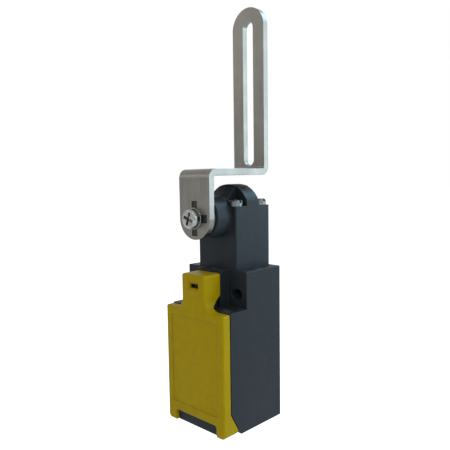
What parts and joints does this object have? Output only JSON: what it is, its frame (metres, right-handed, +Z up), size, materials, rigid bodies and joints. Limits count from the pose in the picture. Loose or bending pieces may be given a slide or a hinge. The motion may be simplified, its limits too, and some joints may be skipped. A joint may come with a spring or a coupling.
{
  "type": "lever-operated safety position switch",
  "caption": "Compact insulated safety switch with a hinged yellow front cover, a dark rotary head and a long slotted steel lever bent over the head.",
  "frame": {"origin": "on the mounting face, midway between the two mounting slots", "axes": "+X across the enclosure, +Y into the mounting surface (the cover faces -Y), +Z up along the lever"},
  "size_m": [0.031, 0.0371, 0.1632],
  "materials": {
    "enclosure_plastic": "fine-grained glass-filled moulding",
    "cover_plastic": "satin moulding",
    "head_plastic": "fine-grained glass-filled moulding",
    "lever_steel": "brushed, sheared edges",
    "screw_steel": "zinc plated",
    "shaft_steel": "turned",
    "hub_steel": "black oxide",
    "cam_plastic": "natural acetal",
    "contact_plastic": "moulded",
    "bush_bronze": "sintered",
    "contact_brass": "stamped",
    "spring_steel": "drawn wire",
    "seal_rubber": "matt"
  },
  "bodies": {
    "enclosure": {"enclosure_body": "enclosure_plastic", "cover_seal": "seal_rubber", "operating_head": "head_plastic", "head_gasket": "seal_rubber", "head_screws": "screw_steel", "shaft_bush": "bush_bronze", "shaft_seal": "seal_rubber", "ram_guide": "head_plastic", "ram_spring": "spring_steel", "return_spring": "spring_steel", "contact_chamber": "contact_plastic", "terminal_block": "contact_plastic", "terminal_clamps": "screw_steel", "terminal_screws": "screw_steel", "break_contact_left": "contact_brass", "break_contact_right": "contact_brass", "make_contact_left": "contact_brass", "make_contact_right": "contact_brass"},
    "lever": {"slotted_lever": "lever_steel", "lever_hub": "hub_steel", "lever_shaft": "shaft_steel", "cam": "cam_plastic", "shaft_clip": "spring_steel", "lever_screw": "screw_steel", "lever_washer": "screw_steel"},
    "ram": {"ram": "cam_plastic"},
    "contact_slide": {"contact_carrier": "contact_plastic", "break_bridge": "contact_brass", "make_bridge": "contact_brass", "break_contact_spring": "spring_steel", "make_contact_spring": "spring_steel"},
    "cover": {"front_cover": "cover_plastic"}
  },
  "joints": [
    {"name": "lever_hinge", "type": "hinge", "parent": "enclosure", "child": "lever", "pos_m": [0, -0.01, 0.029], "axis": [0, 1, 0], "range_deg": [0, 90], "stiffness_Nm_per_rad": 0.03, "springref_deg": -57.3},
    {"name": "ram_slide", "type": "slide", "parent": "enclosure", "child": "ram", "axis": [0, 0, -1], "range_m": [0, 0.0035], "deforming": ["ram_spring"]},
    {"name": "carrier_slide", "type": "slide", "parent": "enclosure", "child": "contact_slide", "axis": [0, 0, -1], "range_m": [0, 0.0035], "deforming": ["return_spring"]},
    {"name": "cover_hinge", "type": "hinge", "parent": "enclosure", "child": "cover", "pos_m": [0, -0.02745, -0.0502], "axis": [1, 0, 0], "range_deg": [0, 100]}
  ],
  "couplings": [
    {"joint": "ram_slide", "follows": "lever_hinge", "m_per_rad": 0.0022282},
    {"joint": "carrier_slide", "follows": "lever_hinge", "m_per_rad": 0.0022282}
  ]
}
